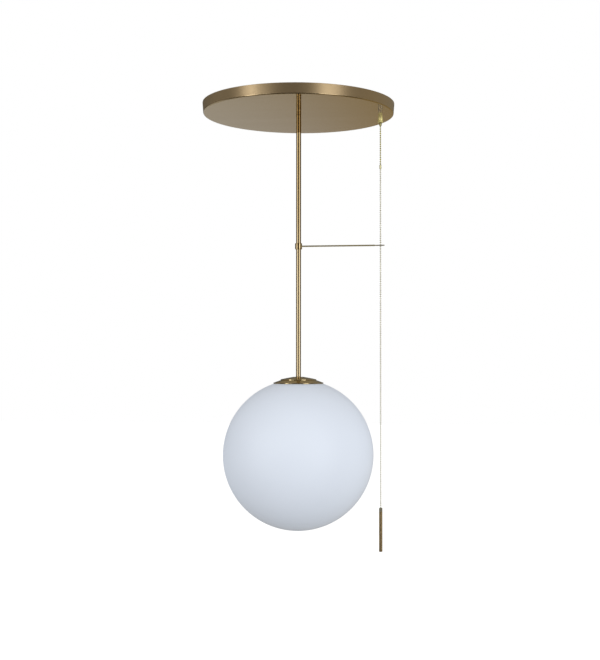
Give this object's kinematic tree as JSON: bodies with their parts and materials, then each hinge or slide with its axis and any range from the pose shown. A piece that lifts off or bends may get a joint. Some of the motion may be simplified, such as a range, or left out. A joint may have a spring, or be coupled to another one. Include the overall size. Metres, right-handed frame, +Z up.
{
  "type": "rod pendant light",
  "caption": "Globe pendant on a slim brass rod under a wide flat ceiling disc, with a bead pull chain guided by a side arm.",
  "frame": {"origin": "midway between the two bracket slots, on the ceiling plane", "axes": "+Z up into the ceiling, +X along the guide arm"},
  "size_m": [0.3839, 0.384, 0.8906],
  "materials": {
    "brushed_brass": "satin, turned with fine rings",
    "polished_brass": "polished",
    "opal_glass": "matt opal",
    "zinc_steel": "zinc plated",
    "black_steel": "black oxide",
    "spring_steel": "drawn",
    "aluminium": "turned",
    "white_plastic": "moulded",
    "black_plastic": "moulded",
    "brown_wire": "sleeved",
    "grey_wire": "sleeved",
    "blue_wire": "sleeved",
    "earth_wire": "sleeved",
    "silicone": "matt",
    "ceramic": "unglazed",
    "nickel": "plated",
    "lamp_glass": "frosted"
  },
  "bodies": {
    "fixture": {"ceiling_bracket": "zinc_steel", "bracket_grub_screws": "black_steel", "canopy": "brushed_brass", "load_washer": "zinc_steel", "earth_tag": "nickel", "rod_lock_nut": "zinc_steel", "rod_top_nipple": "zinc_steel", "terminal_block": "white_plastic", "terminal_barrels": "polished_brass", "terminal_screws": "zinc_steel", "terminal_block_screw": "zinc_steel", "live_wire": "brown_wire", "switched_wire": "grey_wire", "neutral_wire": "blue_wire", "earth_wire": "earth_wire", "switch_case": "black_plastic", "switch_cover": "black_plastic", "switch_cover_screws": "zinc_steel", "switch_bush": "polished_brass", "switch_bell": "polished_brass", "switch_spring": "spring_steel", "rotor_axle": "spring_steel", "contact_blades": "polished_brass", "rod": "brushed_brass", "arm_collar": "brushed_brass", "collar_grub_screw": "black_steel", "guide_arm": "brushed_brass", "rod_bottom_nipple": "zinc_steel", "globe_cap": "brushed_brass", "globe_fitter": "aluminium", "cap_nut": "zinc_steel", "lampholder_cap": "black_plastic", "lampholder_skirt": "black_plastic", "lampholder_insert": "ceramic", "screw_shell": "nickel", "centre_contact": "polished_brass", "bulb_base": "nickel", "bulb_envelope": "lamp_glass"},
    "pull_train": {"switch_plunger": "white_plastic", "captive_chain": "polished_brass", "chain_coupling_upper": "polished_brass", "chain_upper": "polished_brass", "chain_coupling_lower": "polished_brass", "chain_middle": "polished_brass"},
    "chain_swivel": {"swivel_bead": "polished_brass"},
    "chain_hang": {"chain_lower": "polished_brass", "handle_ferrule": "brushed_brass", "pull_handle": "brushed_brass"},
    "gasket": {"globe_gasket": "silicone"},
    "globe_unit": {"globe": "opal_glass", "globe_ring": "aluminium"},
    "rotor": {"contact_rotor": "white_plastic"}
  },
  "joints": [
    {"name": "chain_pull", "type": "slide", "parent": "fixture", "child": "pull_train", "axis": [0, 0, -1], "range_m": [0, 0.006], "stiffness_N_per_m": 400, "springref_m": -0.01, "deforming": ["switch_spring"]},
    {"name": "chain_swing_side", "type": "hinge", "parent": "pull_train", "child": "chain_swivel", "pos_m": [0.1648, 0, -0.288], "axis": [1, 0, 0], "range_deg": [-60, 60]},
    {"name": "chain_swing_out", "type": "hinge", "parent": "chain_swivel", "child": "chain_hang", "pos_m": [0.1648, 0, -0.288], "axis": [0, -1, 0], "range_deg": [-1.5, 60]},
    {"name": "globe_lower", "type": "slide", "parent": "fixture", "child": "gasket", "axis": [0, 0, 1], "range_m": [-0.005, 0]},
    {"name": "globe_unscrew", "type": "hinge", "parent": "gasket", "child": "globe_unit", "pos_m": [0, 0, -0.7], "axis": [0, 0, 1], "range_deg": [-450, 0]},
    {"name": "rotor_turn", "type": "hinge", "parent": "fixture", "child": "rotor", "pos_m": [0.1564, 0, -0.012], "axis": [0, 1, 0], "range_deg": [0, 90]}
  ],
  "couplings": [
    {"joint": "globe_unscrew", "follows": "globe_lower", "rad_per_m": 1570.8},
    {"joint": "rotor_turn", "follows": "chain_pull", "rad_per_m": 261.7}
  ]
}
